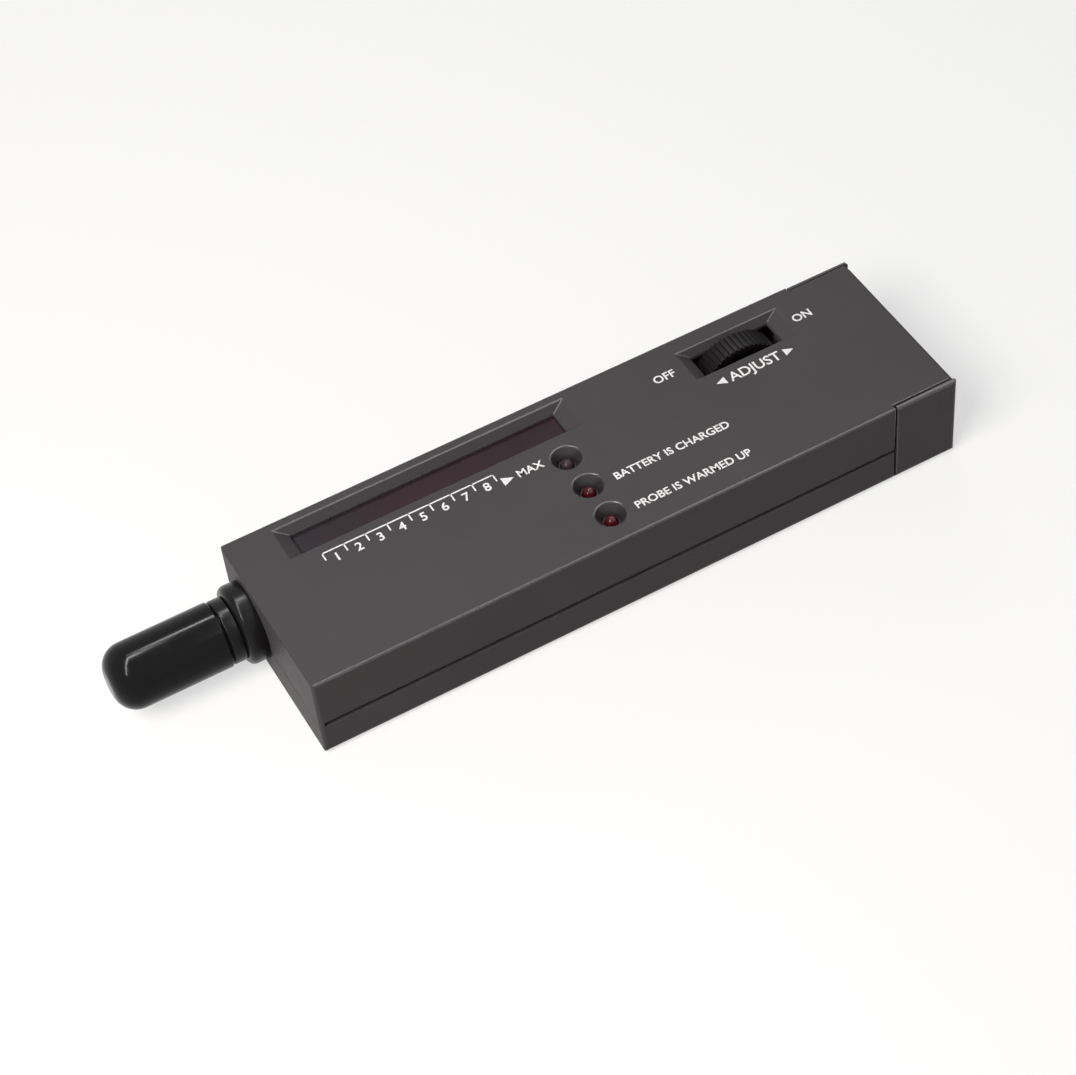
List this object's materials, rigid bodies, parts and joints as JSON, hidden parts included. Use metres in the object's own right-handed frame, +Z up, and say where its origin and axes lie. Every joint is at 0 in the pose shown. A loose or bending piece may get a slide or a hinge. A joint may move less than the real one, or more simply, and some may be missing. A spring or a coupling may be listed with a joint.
{
  "type": "diamond tester",
  "caption": "Hand-held thermal gem tester: flat plastic case with capped probe, bar meter window, recessed lamps, level thumbwheel and slide-off battery cover.",
  "frame": {"origin": "centre of the case's flat underside", "axes": "+X from the probe towards the battery cover, +Y towards the meter window's side, +Z up out of the top face"},
  "size_m": [0.1831, 0.043, 0.0225],
  "materials": {
    "case_plastic": "moulded ABS with a fine spark texture",
    "black_plastic": "polished black moulding",
    "wheel_plastic": "ribbed black moulding",
    "smoked_window": "smoked red acrylic strip",
    "lamp_red": "red tinted lamp resin",
    "lamp_clear": "smoky clear lamp resin",
    "panel_metal": "satin touch plate",
    "steel": "plated steel",
    "copper": "bare copper",
    "brass": "brass disc",
    "tinned_metal": "tinned legs and contacts",
    "board_green": "solder mask on laminate",
    "board_tan": "bare laminate",
    "chip_black": "moulded epoxy",
    "bar_housing": "moulded display housing",
    "bar_red": "unlit red bars",
    "can_blue": "shrink sleeve",
    "resistor_tan": "lacquer",
    "trimmer_blue": "moulded housing",
    "control_brown": "phenolic body",
    "plug_cream": "insulating plug",
    "bead_glass": "sealed bead",
    "lead_red": "insulated lead",
    "lead_black": "insulated lead",
    "lead_grey": "insulated leads",
    "battery_skin": "plain printed steel jacket",
    "print_white": "screen-printed ink for the scale and the words",
    "snap_vinyl": "moulded vinyl"
  },
  "bodies": {
    "case": {"upper_shell": "case_plastic", "lower_shell": "case_plastic", "meter_window": "smoked_window", "conductive_panel": "panel_metal", "case_screws": "steel", "probe_collar": "black_plastic", "probe_nose": "black_plastic", "probe_spring": "steel", "probe_plug": "plug_cream", "probe_leads": "lead_grey", "level_bars": "bar_housing", "level_segments": "bar_red", "lamp_result": "lamp_clear", "lamp_battery": "lamp_red", "lamp_ready": "lamp_red", "lamp_legs": "tinned_metal", "main_board": "board_green", "board_screws": "steel", "driver_chips": "chip_black", "amplifier_chip": "chip_black", "chip_legs": "tinned_metal", "capacitors": "can_blue", "resistors": "resistor_tan", "trimmer": "trimmer_blue", "buzzer_case": "chip_black", "buzzer_disc": "brass", "buzzer_leads": "lead_red", "panel_lead": "lead_grey", "control_body": "control_brown", "control_board": "board_tan", "control_leads": "lead_grey", "battery_case": "battery_skin", "battery_studs": "tinned_metal", "battery_snap": "snap_vinyl", "snap_contacts": "tinned_metal", "battery_lead_plus": "lead_red", "battery_lead_minus": "lead_black"},
    "cap": {"probe_cap": "black_plastic"},
    "tip": {"probe_tip": "copper", "thermistor": "bead_glass"},
    "wheel": {"volume_wheel": "wheel_plastic", "wheel_screw": "steel", "control_shaft": "steel"},
    "door": {"battery_door": "case_plastic"}
  },
  "joints": [
    {"name": "cap_pull", "type": "slide", "parent": "case", "child": "cap", "axis": [-1, 0, 0], "range_m": [0, 0.03]},
    {"name": "tip_press", "type": "slide", "parent": "case", "child": "tip", "axis": [1, 0, 0], "range_m": [0, 0.0012], "stiffness_N_per_m": 800, "deforming": ["probe_spring"]},
    {"name": "wheel_turn", "type": "hinge", "parent": "case", "child": "wheel", "pos_m": [0.04275, 0.01265, 0.0125], "axis": [0, 1, 0], "range_deg": [0, 270]},
    {"name": "door_slide", "type": "slide", "parent": "case", "child": "door", "axis": [1, 0, 0], "range_m": [0, 0.02]}
  ]
}
